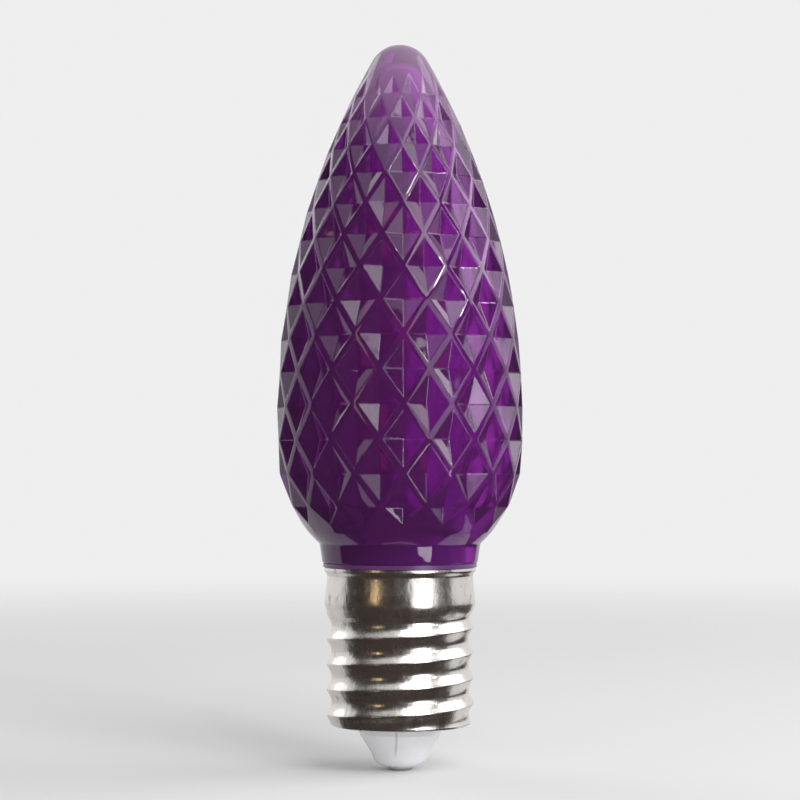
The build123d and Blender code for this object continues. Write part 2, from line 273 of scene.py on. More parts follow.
@dataclass(frozen=True)
class Moulded:
    """Opaque or milky moulded plastic with a faint orange-peel skin and perhaps a mark.

    A mark is printed tracks or painted shade: a grey upright line stands for the shade in a narrow
    groove, and a darker lip stands for the shade between lens and shell. The sizes and places of the
    marks are in millimetres. Each pair of places tells where the mark starts to show and where it is
    full.
    """

    name: str
    colour: tuple
    shade: tuple
    roughness: float = 0.25
    skin_scale: float = 1200.0
    skin_height: float = 0.00002
    subsurface: float = 0.0
    mark: Mark = Mark.NONE
    mark_colour: tuple = (0.3, 0.3, 0.3, 1.0)
    tone_scale: float = 180.0
    polish_scale: float = 700.0
    skin_strength: float = 0.4
    subsurface_reach: tuple = (0.002, 0.002, 0.002)
    TRACK_SCALE: ClassVar[float] = 110.0
    TRACK_WARP: ClassVar[float] = 9.0
    TRACK_SHOWS: ClassVar[tuple] = (0.82, 0.90)
    # Heights in mm where the lip's painted shade starts to show and where it is full.
    LIP_SHADE_HEIGHTS: ClassVar[tuple] = (23.3, 23.1)
    # Painted groove shade: sideways wander, width window, depth window and height window, in mm.
    GROOVE_SHADE_WANDER: ClassVar[float] = 0.9
    GROOVE_SHADE_SIDES: ClassVar[tuple] = (0.22, 0.04)
    GROOVE_SHADE_DEPTHS: ClassVar[tuple] = (-1.2, -2.0)
    GROOVE_SHADE_HEIGHTS: ClassVar[tuple] = (1.6, 2.6)

    def build(self) -> bpy.types.Material:
        """Makes the plastic with slight changes of tone, and its mark: a groove's painted shade, the
        lip's painted shade or printed tracks.

        Returns:
            The new material.
        """
        n = Nodes(self.name)
        plastic = n.add("ShaderNodeBsdfPrincipled")
        tone = n.ramp(n.noise(self.tone_scale, 4), [(0.3, self.shade), (0.7, self.colour)])
        if self.mark is not Mark.NONE:
            blend = n.add("ShaderNodeMix", data_type="RGBA")
            n.link(self.mark_share(n), blend.inputs["Factor"])
            n.link(tone, blend.inputs["A"])
            blend.inputs["B"].default_value = self.mark_colour
            tone = blend.outputs["Result"]
        n.link(tone, plastic.inputs["Base Color"])
        grain = n.noise(self.polish_scale, 3)
        n.link(n.spread(grain, self.roughness * 0.8, self.roughness * 1.25), plastic.inputs["Roughness"])
        skin = n.bump(n.noise(self.skin_scale, 2), self.skin_height, self.skin_strength)
        n.link(skin, plastic.inputs["Normal"])
        plastic.inputs["Subsurface Weight"].default_value = self.subsurface
        plastic.inputs["Subsurface Radius"].default_value = self.subsurface_reach
        n.link(plastic.outputs[0], n.output.inputs["Surface"])
        return n.material

    def mark_share(self, n: Nodes) -> bpy.types.NodeSocket:
        """Where the mark lies: nought off it, one on it.

        A groove's painted shade is a thin upright line on the camera's side, the lip's painted shade is
        all below a height, and tracks are narrow bands in a warped wave.

        Args:
            n: The material's nodes.

        Returns:
            A grey socket.
        """
        if self.mark is Mark.TRACKS:
            wave = n.add("ShaderNodeTexWave", wave_type="BANDS", bands_direction="Z",
                         Scale=self.TRACK_SCALE, Distortion=self.TRACK_WARP, Detail=1.0,
                         Detail_Scale=0.8)
            n.link(n.place(), wave.inputs["Vector"])
            return n.window(wave.outputs["Fac"], *self.TRACK_SHOWS)
        axes = n.add("ShaderNodeSeparateXYZ")
        n.link(n.place(), axes.inputs[0])
        # Painted shade: everything below the lip's height turns darker.
        if self.mark is Mark.LIP_SHADE:
            return n.window(axes.outputs["Z"], *(z * MM for z in self.LIP_SHADE_HEIGHTS))
        # Painted shade of a groove: a thin wandering upright grey line, only on the camera's side.
        wander = n.add("ShaderNodeMath", operation="MULTIPLY_ADD")
        n.link(n.noise(160, 2), wander.inputs[0])
        wander.inputs[1].default_value = self.GROOVE_SHADE_WANDER * MM
        n.link(axes.outputs["X"], wander.inputs[2])
        off = n.add("ShaderNodeMath", operation="ABSOLUTE")
        n.link(wander.outputs[0], off.inputs[0])
        share = n.window(off.outputs[0], *(x * MM for x in self.GROOVE_SHADE_SIDES))
        for axis, places in (("Y", self.GROOVE_SHADE_DEPTHS), ("Z", self.GROOVE_SHADE_HEIGHTS)):
            both = n.add("ShaderNodeMath", operation="MULTIPLY")
            n.link(share, both.inputs[0])
            n.link(n.window(axes.outputs[axis], *(place * MM for place in places)), both.inputs[1])
            share = both.outputs[0]
        return share


@dataclass(frozen=True)
class Plated:
    """Plated or tinned metal with fine draw lines and dull stains."""

    name: str
    colour: tuple
    stain: tuple
    roughness: float = 0.14
    dull: float = 0.34
    lines: Bands = Bands.ROUND
    line_scale: float = 9000.0
    line_height: float = 0.000012
    line_strength: float = 0.35
    stain_scale: float = 760.0
    stain_from: float = 0.52
    stain_full: float = 0.78
    dent_scale: float = 1500.0
    dent_height: float = 0.00005
    dent_strength: float = 0.5

    def build(self) -> bpy.types.Material:
        """Makes the metal: stains dull it, and lines run along its working.

        Returns:
            The new material.
        """
        n = Nodes(self.name)
        metal = n.add("ShaderNodeBsdfPrincipled")
        metal.inputs["Metallic"].default_value = 1.0
        spots = n.noise(self.stain_scale, 7, (1, 1, 0.7))
        tone = n.ramp(spots, [(self.stain_from, self.colour), (self.stain_full, self.stain)])
        n.link(tone, metal.inputs["Base Color"])
        n.link(n.spread(spots, self.roughness * 0.5, self.dull), metal.inputs["Roughness"])
        stretch = (0.03, 0.03, 1.0) if self.lines is Bands.ROUND else (1.0, 1.0, 0.03)
        lines = n.add("ShaderNodeBump", Strength=self.line_strength, Distance=self.line_height)
        n.link(n.noise(self.line_scale, 2, stretch), lines.inputs["Height"])
        dents = n.bump(n.noise(self.dent_scale, 3, (1, 1, 0.45)), self.dent_height, self.dent_strength)
        n.link(dents, lines.inputs["Normal"])
        n.link(lines.outputs[0], metal.inputs["Normal"])
        n.link(metal.outputs[0], n.output.inputs["Surface"])
        return n.material


def mesh_object(name: str, points: np.ndarray, faces: list) -> bpy.types.Object:
    """Makes a smooth mesh object at the origin from points in millimetres.

    Args:
        name: Name of the piece.
        points: Array of points, one row each.
        faces: Lists of point numbers, anticlockwise from outside.

    Returns:
        The new object, linked to the scene.
    """
    mesh = bpy.data.meshes.new(name)
    mesh.from_pydata((points * MM).tolist(), [], faces)
    mesh.polygons.foreach_set("use_smooth", np.full(len(mesh.polygons), True))
    mesh.update()
    piece = bpy.data.objects.new(name, mesh)
    bpy.context.scene.collection.objects.link(piece)
    return piece


def round_edges(piece: bpy.types.Object, width: float, parts: int, angle: float) -> None:
    """Rounds the edges of a piece that are sharper than an angle.

    Args:
        piece: The piece.
        width: Width of the rounding in millimetres.
        parts: Strips across the rounding.
        angle: Least turn between two faces, in degrees.
    """
    bevel = piece.modifiers.new("edge rounding", "BEVEL")
    bevel.width = width * MM
    bevel.segments = parts
    bevel.limit_method = "ANGLE"
    bevel.angle_limit = math.radians(angle)


def grid_faces(rows: int, columns: int, first: int = 0) -> np.ndarray:
    """Quads of a grid that closes on itself across its columns.

    Point number = first + row * columns + column. Each quad takes a point, the next one in its
    row, and the two above them, so it faces outwards where the rows climb and the columns turn
    anticlockwise.

    Args:
        rows: Rows of points.
        columns: Points in a row.
        first: Number of the first point.

    Returns:
        Array of four point numbers a face.
    """
    row, column = np.meshgrid(np.arange(rows - 1), np.arange(columns), indexing="ij")
    here = first + row * columns + column
    beside = first + row * columns + (column + 1) % columns
    return np.stack([here, beside, beside + columns, here + columns], -1).reshape(-1, 4)


def turned_points(profile: np.ndarray, columns: int, start: float = 0.0) -> np.ndarray:
    """Carries a profile of (radius, height) rows round the Z axis.

    Point = (radius cos a, radius sin a, height), with a going once round in equal steps.

    Args:
        profile: Rows of radius and height.
        columns: Steps round the axis.
        start: Angle of the first step, in radians.

    Returns:
        Points, the steps of the first row first.
    """
    angle = start + np.arange(columns) * 2 * np.pi / columns
    radius, height = profile[:, :1], profile[:, 1:]
    return np.stack(
        [radius * np.cos(angle), radius * np.sin(angle), height + 0 * angle], -1
    ).reshape(-1, 3)


def turned_piece(name: str, profile: np.ndarray, columns: int = 160) -> bpy.types.Object:
    """Makes a closed turned piece from a profile that starts and ends on the axis.

    Args:
        name: Name of the piece.
        profile: Rows of radius and height, from the low end round the outside to the high end.
        columns: Steps round the axis.

    Returns:
        The new object.
    """
    inner = profile[1:-1]
    points = turned_points(inner, columns)
    faces = grid_faces(len(inner), columns).tolist()
    low, high = len(points), len(points) + 1
    step = np.arange(columns)
    after = (step + 1) % columns
    top = (len(inner) - 1) * columns
    faces += np.stack([after, step, np.full(columns, low)], -1).tolist()
    faces += np.stack([top + step, top + after, np.full(columns, high)], -1).tolist()
    ends = np.array([[0, 0, profile[0, 1]], [0, 0, profile[-1, 1]]])
    return mesh_object(name, np.vstack([points, ends]), faces)


def ring_piece(name: str, profile: np.ndarray, columns: int = 160) -> bpy.types.Object:
    """Makes a closed ring from a profile whose last row joins its first.

    Args:
        name: Name of the piece.
        profile: Rows of radius and height, anticlockwise in the plane of radius and height.
        columns: Steps round the axis.

    Returns:
        The new object.
    """
    looped = np.vstack([profile, profile[:1]])
    faces = grid_faces(len(looped), columns) % (len(profile) * columns)
    return mesh_object(name, turned_points(profile, columns), faces.tolist())


def arc(centre: tuple, radius: float, start: float, end: float, steps: int) -> np.ndarray:
    """Points on a circle in the plane of radius and height.

    Point = centre + radius (cos a, sin a), with a from start to end in degrees.

    Args:
        centre: Radius and height of the centre.
        radius: Radius of the circle.
        start: First angle.
        end: Last angle.
        steps: Number of intervals.

    Returns:
        Rows of radius and height.
    """
    angle = np.radians(np.linspace(start, end, steps + 1))
    return np.stack([centre[0] + radius * np.cos(angle), centre[1] + radius * np.sin(angle)], -1)


@dataclass
class Lens:
    """The hollow faceted envelope, in millimetres, on the same sizes as the solid one."""

    bottom: float = 23.05
    height: float = 58.55
    radius: float = 13.83
    nose_radius: float = 3.6
    widest_from: float = 13.05
    widest_to: float = 16.55
    shoulder_radius: float = 14.8
    band_top: float = 9.05
    band_bottom: float = 8.75
    edge: float = 0.15
    wall: float = 2.4
    cavity_nose: float = 1.8
    bore: float = 7.5
    round_count: int = 16
    rows: int = 14
    turn: float = 1.75
    first_row: float = 6.35
    row_step: float = 3.75
    row_shrink: float = 0.35
    pit_depth: float = 1.25
    ridge_width: float = 0.62
    last_pit_share: float = 0.62
    margin: float = 0.45
    ring_parts: int = 4
    rounding: float = 0.12
    sharp_from: float = 9.0
    shading_weight: int = 60
    INSIDE: ClassVar[str] = "inside"

    def __post_init__(self) -> None:
        """Works out the arcs of the outline."""
        self.tip = self.bottom + self.height
        self.low = self.bottom + self.widest_from
        self.high = self.bottom + self.widest_to
        reach = self.tip - self.nose_radius - self.high
        share = self.radius**2 + reach**2 - self.nose_radius**2
        self.flank = share / (2 * (self.radius - self.nose_radius))
        self.flank_centre = self.radius - self.flank
        self.shoulder_centre = self.radius - self.shoulder_radius
        self.half = math.pi / self.round_count

    def outline(self, z: np.ndarray) -> np.ndarray:
        """Radius over the ridges at height z.

        Above the widest stretch it is the flank circle, below it the shoulder circle, each as
        centre + square root of (radius squared - distance squared).

        Args:
            z: Heights.

        Returns:
            A radius for each height.
        """
        z = np.asarray(z, float)
        up = np.clip(z - self.high, 0, None)
        down = np.clip(self.low - z, 0, None)
        flank = self.flank_centre + np.sqrt(self.flank**2 - up**2)
        shoulder = self.shoulder_centre + np.sqrt(self.shoulder_radius**2 - down**2)
        return np.where(z > self.low, flank, shoulder)

    def at(self, angle: np.ndarray, z: np.ndarray, depth: np.ndarray | float = 0.0) -> np.ndarray:
        """Points under the outline.

        Args:
            angle: Angles round the axis, in radians.
            z: Heights.
            depth: Depths under the outline.

        Returns:
            Points in the shape of the wider of the three, with a last axis for the coordinate.
        """
        angle, z, radius = np.broadcast_arrays(angle, z, self.outline(z) - depth)
        return np.stack([radius * np.cos(angle), radius * np.sin(angle), z], -1)

    def row_heights(self) -> np.ndarray:
        """Heights of the crossings: each step is the widest step times a power of the radius.

        Returns:
            Rising heights, one under the first row, one for each row and one over the last.
        """
        heights = [self.bottom + self.first_row]
        while len(heights) < self.rows + 1:
            share = float(self.outline(heights[-1]) / self.radius) ** self.row_shrink
            heights.append(heights[-1] + self.row_step * share)
        return np.array([heights[0] - self.last_pit_share * self.row_step] + heights)

    def pits(self, heights: np.ndarray) -> np.ndarray:
        """Corners of all pits: top, bottom, left, right and middle.

        A corner lies half a ridge inside the crossing of its name, measured across the ridge,
        and the middle is sunk.

        Args:
            heights: Heights of the crossings.

        Returns:
            Array of row, place, corner and coordinate.
        """
        level = np.arange(self.rows)[:, None]
        low, mid, high = heights[:-2, None], heights[1:-1, None], heights[2:, None]
        start = math.radians(self.turn - 90)
        angle = start + self.half * (2 * np.arange(self.round_count)[None, :] + level % 2)
        size = self.outline(mid) / self.radius
        ridge = self.ridge_width * size / 2
        across = self.outline(mid) * self.half
        rise, fall = high - mid, mid - low
        narrow = ridge * np.hypot(across, rise) / rise / across * self.half
        top = self.at(angle, high - ridge * np.hypot(across, rise) / across)
        bottom = self.at(angle, low + ridge * np.hypot(across, fall) / across)
        left = self.at(angle - self.half + narrow, mid)
        right = self.at(angle + self.half - narrow, mid)
        middle = self.at(angle, mid, self.pit_depth * size)
        return np.stack([top, bottom, left, right, middle], 2)

    def cavity_profile(self) -> np.ndarray:
        """Smooth inside, from the neck up to the nose.

        Returns:
            Rows of radius and height.
        """
        shoulder = self.shoulder_radius - self.wall
        flank = self.flank - self.wall
        meet = -math.degrees(math.acos((self.bore - self.shoulder_centre) / shoulder))
        rise = math.sqrt((flank - self.cavity_nose) ** 2 - self.flank_centre**2)
        nose_z = self.high + rise
        turn = math.degrees(math.atan2(rise, -self.flank_centre))
        return np.vstack([
            [[self.bore, self.bottom]],
            arc((self.shoulder_centre, self.low), shoulder, meet, 0, 14),
            arc((self.flank_centre, self.high), flank, 0, turn, 40),
            arc((0, nose_z), self.cavity_nose, turn, 90, 10)[1:],
        ])

    def foot_profile(self, start: float) -> np.ndarray:
        """Outside below the facets, from the neck up.

        Args:
            start: Height where the facets start.

        Returns:
            Rows of radius and height.
        """
        meet = -math.degrees(math.acos((self.band_top - self.shoulder_centre) / self.shoulder_radius))
        begin = -math.degrees(math.asin((self.low - start) / self.shoulder_radius))
        shoulder = arc((self.shoulder_centre, self.low), self.shoulder_radius, meet, begin, 8)
        return np.vstack([
            [[self.band_bottom - self.edge, self.bottom], [self.band_bottom, self.bottom + self.edge]],
            shoulder,
        ])

    def nose_profile(self, start: float) -> np.ndarray:
        """Outside above the facets, up to the tip.

        Args:
            start: Height where the facets end.

        Returns:
            Rows of radius and height.
        """
        begin = math.degrees(math.asin((start - self.high) / self.flank))
        nose_z = self.tip - self.nose_radius
        turn = math.degrees(math.atan2(nose_z - self.high, -self.flank_centre))
        return np.vstack([
            arc((self.flank_centre, self.high), self.flank, begin, turn, 4),
            arc((0, nose_z), self.nose_radius, turn, 90, 16)[1:],
        ])

    def build(self) -> bpy.types.Object:
        """Joins the pits, the ridges, the turned foot and nose and the cavity into one mesh.

        Returns:
            The lens, with its cavity marked for the frost.
        """
        heights = self.row_heights()
        corners = self.pits(heights)
        rows, count = corners.shape[:2]
        number = np.arange(rows * count * 5).reshape(rows, count, 5)
        top, bottom, left, right, middle = (number[..., c] for c in range(5))
        columns = 2 * count * self.ring_parts
        start = math.radians(self.turn - 90)
        foot = self.foot_profile(heights[0] - self.margin)
        nose = self.nose_profile(heights[-1] + self.margin)
        cavity = self.cavity_profile()
        outer = turned_points(np.vstack([cavity[:1], foot]), columns, start)
        inner = turned_points(cavity[1:-1], columns, start)
        upper = turned_points(nose[:-1], columns, start)
        first_outer = number.size
        first_inner = first_outer + len(outer)
        first_upper = first_inner + len(inner)
        poles = first_upper + len(upper)
        faces = []
        for a, b in ((bottom, right), (right, top), (top, left), (left, bottom)):
            faces += np.stack([a, b, middle], -1).reshape(-1, 3).tolist()
        # Strips over each pit: the next row's pits stand half a place on, in turn
        shift = (np.arange(rows - 1) % 2)[:, None]
        place = np.arange(count)[None, :]
        above = (np.arange(rows - 1) + 1)[:, None]
        ahead = (place + shift) % count
        behind = (place + shift - 1) % count
        lower = (slice(0, rows - 1), slice(None))
        faces += np.stack(
            [right[lower], bottom[above, ahead], left[above, ahead], top[lower]], -1
        ).reshape(-1, 4).tolist()
        faces += np.stack(
            [left[lower], top[lower], right[above, behind], bottom[above, behind]], -1
        ).reshape(-1, 4).tolist()
        # Crossings between rows, each with the pit under, beside, over and before it
        inside = np.arange(1, rows - 1)[:, None]
        lift = inside % 2
        faces += np.stack([
            top[inside - 1, (place + lift) % count],
            left[inside, (place + 1) % count],
            bottom[inside + 1, (place + lift) % count],
            right[inside, place + 0 * inside],
        ], -1).reshape(-1, 4).tolist()
        faces += self.end_faces(number, first_outer + len(foot) * columns, 0, columns)
        faces += self.end_faces(number, first_upper, rows - 1, columns)
        faces += grid_faces(len(foot) + 1, columns, first_outer).tolist()
        faces += grid_faces(len(nose) - 1, columns, first_upper).tolist()
        faces += grid_faces(len(cavity) - 2, columns, first_inner)[:, ::-1].tolist()
        step = np.arange(columns)
        after = (step + 1) % columns
        low_in, first_in = first_outer + step, first_inner + step
        faces += np.stack(
            [first_outer + after, low_in, first_in, first_inner + after], -1
        ).tolist()
        last_in = first_inner + (len(cavity) - 3) * columns
        last_up = first_upper + (len(nose) - 2) * columns
        faces += np.stack([last_in + after, last_in + step, np.full(columns, poles)], -1).tolist()
        faces += np.stack([last_up + step, last_up + after, np.full(columns, poles + 1)], -1).tolist()
        ends = np.array([[0, 0, cavity[-1, 1]], [0, 0, nose[-1, 1]]])
        points = np.vstack([corners.reshape(-1, 3), outer, inner, upper, ends])
        lens = mesh_object("lens_envelope", points, faces)
        order = np.arange(len(points))
        within = ((order >= first_inner) & (order < first_upper)) | (order == poles)
        mark = lens.data.attributes.new(self.INSIDE, "FLOAT", "POINT")
        mark.data.foreach_set("value", within.astype(np.float32))
        round_edges(lens, self.rounding, 3, self.sharp_from)
        even = lens.modifiers.new("even shading", "WEIGHTED_NORMAL")
        even.weight = self.shading_weight
        even.keep_sharp = True
        return lens

    def end_faces(self, number: np.ndarray, ring: int, level: int, columns: int) -> list:
        """Faces that join the lowest or highest pits to the ring of a turned end.

        Args:
            number: Point numbers of the pits' corners.
            ring: Number of the ring's first point.
            level: Row of the pits.
            columns: Points in the ring.

        Returns:
            Lists of point numbers.
        """
        top, bottom, left, right = (number[level, :, c] for c in range(4))
        count, parts = self.round_count, self.ring_parts
        middle = (2 * np.arange(count) + level % 2) * parts
        span = np.arange(parts + 1)
        after = ring + (middle[:, None] + span) % columns
        before = ring + (middle[:, None] - span[::-1]) % columns
        node = after[:, -1:]
        next_left = np.roll(left, -1)[:, None]
        own_right = right[:, None]
        place = np.arange(count)
        if level == 0:
            over = number[1, place, 1][:, None]
            sides = [
                np.hstack([left[:, None], before, bottom[:, None]]),
                np.hstack([bottom[:, None], after, own_right]),
            ]
            crossing = np.hstack([node, next_left, over, own_right])
        else:
            under = number[level - 1, (place + level % 2) % count, 0][:, None]
            sides = [
                np.hstack([left[:, None], top[:, None], before[:, ::-1]]),
                np.hstack([own_right, after[:, ::-1], top[:, None]]),
            ]
            crossing = np.hstack([under, next_left, node, own_right])
        return [row for block in (*sides, crossing) for row in block.tolist()]


@dataclass
class ScrewShell:
    """Rolled nickel-plated shell with its beaded top, plain band and thread."""

    bottom: float = 5.0
    height: float = 17.6
    sheet: float = 0.3
    rim: float = 8.5
    bead: float = 0.32
    bead_swell: float = 0.04
    waist: float = 8.19
    barrel: float = 8.44
    waist_depth: float = 0.95
    barrel_depth: float = 3.9
    thread_depth: float = 5.9
    crest: float = 8.25
    root: float = 7.67
    pitch: float = 2.822
    crest_left: float = 3.92
    run_in: float = 1.2
    hole: float = 4.75
    corner: float = 0.25
    crest_power: float = 1.18
    rounding: float = 0.06
    columns: int = 180
    outer_rows: int = 230
    inner_rows: int = 90

    def surface(self, z: np.ndarray, inset: float) -> np.ndarray:
        """Points of the wall, row by row, moved inwards by inset.

        The radius is the band's, and below it the thread's: the mean plus half the depth times
        a wave of the angle past the crest, 1 - 2 |sin(half the angle)| to a power under 2.
        The crest turns once a pitch, right-handed, and the wave fades in under the plain band.

        Args:
            z: Heights of the rows.
            inset: Distance inside the outer surface.

        Returns:
            Array of row, column and coordinate.
        """
        top = self.bottom + self.height
        mean, swing = (self.crest + self.root) / 2, (self.crest - self.root) / 2
        depth = [0, self.bead, self.waist_depth, self.barrel_depth, self.thread_depth]
        radii = [self.rim - self.bead_swell, self.rim, self.waist, self.barrel, mean]
        radius = np.full_like(z, mean)
        for near, far, first, last in zip(depth, depth[1:], radii, radii[1:]):
            inside = (top - z >= near) & (top - z <= far)
            blend = (1 - np.cos(np.pi * (top - z - near) / (far - near))) / 2
            radius = np.where(inside, first + (last - first) * blend, radius)
        rise = np.clip((top - self.thread_depth + self.run_in - z) / self.run_in, 0, 1)
        crest_at = np.pi + 2 * np.pi * (z - self.bottom - self.crest_left) / self.pitch
        angle = np.arange(self.columns)[None, :] * 2 * np.pi / self.columns
        wave = 1 - 2 * np.abs(np.sin((angle - crest_at[:, None]) / 2)) ** self.crest_power
        depth_here = swing * (1 - np.cos(np.pi * rise)) / 2
        r = radius[:, None] + depth_here[:, None] * wave - inset
        return np.stack([r * np.cos(angle), r * np.sin(angle), z[:, None] + 0 * angle], -1)

    def build(self) -> bpy.types.Object:
        """Outer wall up, over the rim, inner wall down, over the floor and back.

        Returns:
            The shell.
        """
        top = self.bottom + self.height
        lip = np.radians(np.linspace(-90, 0, 5))[:-1]
        wall = self.surface(np.linspace(self.bottom + self.corner, top, self.outer_rows), 0)
        corner = np.repeat(wall[:1], len(lip), axis=0)
        corner[..., :2] *= (1 - self.corner * (1 - np.cos(lip)) / self.root)[:, None, None]
        corner[..., 2] = (self.bottom + self.corner * (1 + np.sin(lip)))[:, None]
        inner = self.surface(np.linspace(top, self.bottom + self.sheet, self.inner_rows), self.sheet)
        angle = np.arange(self.columns) * 2 * np.pi / self.columns
        heights = np.array([[self.bottom + self.sheet], [self.bottom]]) + 0 * angle
        hole = np.stack([self.hole * np.cos(angle) + 0 * heights,
                         self.hole * np.sin(angle) + 0 * heights, heights], -1)
        rings = np.concatenate([corner, wall, inner, hole])
        count = len(rings)
        faces = grid_faces(count + 1, self.columns) % (count * self.columns)
        shell = mesh_object("shell_sheet", rings.reshape(-1, 3), faces.tolist())
        round_edges(shell, self.rounding, 2, 50)
        return shell


@dataclass
class Insulator:
    """Pale moulded cone that carries the centre contact."""

    shell_bottom: float = 5.0
    sheet: float = 0.3
    flange: float = 1.6
    flange_radius: float = 7.32
    cone_top: float = 4.6
    straight: float = 0.9
    cone_low: float = 3.15
    cone_low_height: float = 1.75
    low: float = 0.45
    hole: float = 0.8
    end: float = 1.5
    bulge_out: float = 0.36
    bulge_down: float = 0.44
    rounding: float = 0.12

    def build(self) -> bpy.types.Object:
        """Turns the outline of the flange, the boss, the cone and its round end.

        Returns:
            The cone.
        """
        floor = self.shell_bottom + self.sheet
        top = floor + self.flange
        neck = (self.cone_top, self.shell_bottom - self.straight)
        waist = (self.cone_low, self.cone_low_height)
        share = np.linspace(0, 1, 12)[:, None]
        middle = np.array([
            (waist[0] + self.end) / 2 + self.bulge_out * (waist[1] - self.low),
            (waist[1] + self.low) / 2 - self.bulge_down * (waist[0] - self.end),
        ])
        start, last = np.array([self.end, self.low]), np.array(waist)
        # Round end = a curve that leaves its two ends towards one middle point
        bulge = (1 - share) ** 2 * start + 2 * share * (1 - share) * middle + share**2 * last
        profile = np.vstack([
            [[self.hole, self.low]], bulge, [neck], [[self.cone_top, floor]],
            [[self.flange_radius, floor]], [[self.flange_radius, top]], [[self.hole, top]],
        ])
        cone = ring_piece("insulator_cone", profile)
        round_edges(cone, self.rounding, 3, 25)
        return cone


@dataclass
class Contact:
    """Low domed head of the tubular rivet in the tip of the insulator."""

    flat: float = 0.95
    head: float = 1.45
    head_height: float = 0.45
    head_edge: float = 0.05
    shank: float = 0.75
    bore: float = 0.42
    roll: float = 1.25
    roll_height: float = 0.35
    seat: float = 6.9

    def build(self) -> bpy.types.Object:
        """Turns the head, the shank and the rolled-over end.

        Returns:
            The rivet.
        """
        dome = np.linspace(0, 90, 7)[:-1]
        dome_height = self.head_height - self.head_edge
        edge = np.stack([
            self.flat + (self.head - self.flat) * np.sin(np.radians(dome)),
            dome_height * (1 - np.cos(np.radians(dome))),
        ], -1)
        profile = np.vstack([
            [[0, 0]], edge, [[self.head, dome_height], [self.head, self.head_height]],
            [[self.shank, self.head_height], [self.shank, self.seat], [self.roll, self.seat]],
            [[self.roll, self.seat + self.roll_height], [self.bore, self.seat + self.roll_height]],
            [[self.bore, self.head_height], [0, self.head_height]],
        ])
        return turned_piece("contact_rivet", profile, 96)


@dataclass(frozen=True)
class Lamp:
    """Soft rectangular lamp that faces the middle of the lens, in metres and degrees.

    The azimuth goes from the camera's side towards +X, and the elevation up from the horizon.
    The reach is the distance from the lens, and the radiance of its face is 1 for white. A
    lamp for gloss only lights no matt surface.
    """

    name: str
    azimuth: float
    elevation: float
    reach: float
    size: tuple
    radiance: float
    colour: tuple = (1, 1, 1)
    gloss_only: bool = False

    def hang(self, height: float) -> None:
        """Hangs the lamp.

        Args:
            height: Height of the point that it faces.
        """
        data = bpy.data.lights.new(self.name, "AREA")
        data.shape = "RECTANGLE"
        data.size, data.size_y = self.size
        data.energy = self.radiance * math.pi * self.size[0] * self.size[1]
        data.color = self.colour
        lamp = bpy.data.objects.new(self.name, data)
        a, e = math.radians(self.azimuth), math.radians(self.elevation)
        away = np.array([math.sin(a) * math.cos(e), -math.cos(a) * math.cos(e), math.sin(e)])
        lamp.location = away * self.reach + np.array([0, 0, height])
        lamp.rotation_euler = (math.pi / 2 - e, 0, a)
        lamp.visible_transmission = False
        lamp.visible_diffuse = not self.gloss_only
        lamp.visible_camera = not self.gloss_only
        bpy.context.scene.collection.objects.link(lamp)


LAMPS = (
    Lamp("key low", 36, 5, 0.52, (0.36, 0.32), 1.5),
    Lamp("key", 34, 34, 0.5, (0.27, 0.16), 3.5),
    Lamp("key top", 31, 53, 0.5, (0.34, 0.16), 2.0),
    Lamp("side", 98, 28, 0.55, (0.44, 0.20), 2.7),
    Lamp("side top", 96, 47, 0.55, (0.44, 0.14), 1.3),
    Lamp("left", -130, 30, 0.6, (0.30, 0.34), 1.3),
    Lamp("glint", 37.5, 27, 0.46, (0.022, 0.035), 50.0),
    Lamp("high glint", 14, 46, 0.46, (0.018, 0.03), 40.0),
    Lamp("side glint", 60, 20, 0.46, (0.018, 0.03), 40.0),
    Lamp("spark", -38, 8, 0.5, (0.06, 0.18), 1.9, (1.0, 0.72, 0.40)),
    Lamp("low glint", 34, -22, 0.076, (0.024, 0.020), 5.0, gloss_only=True),
)


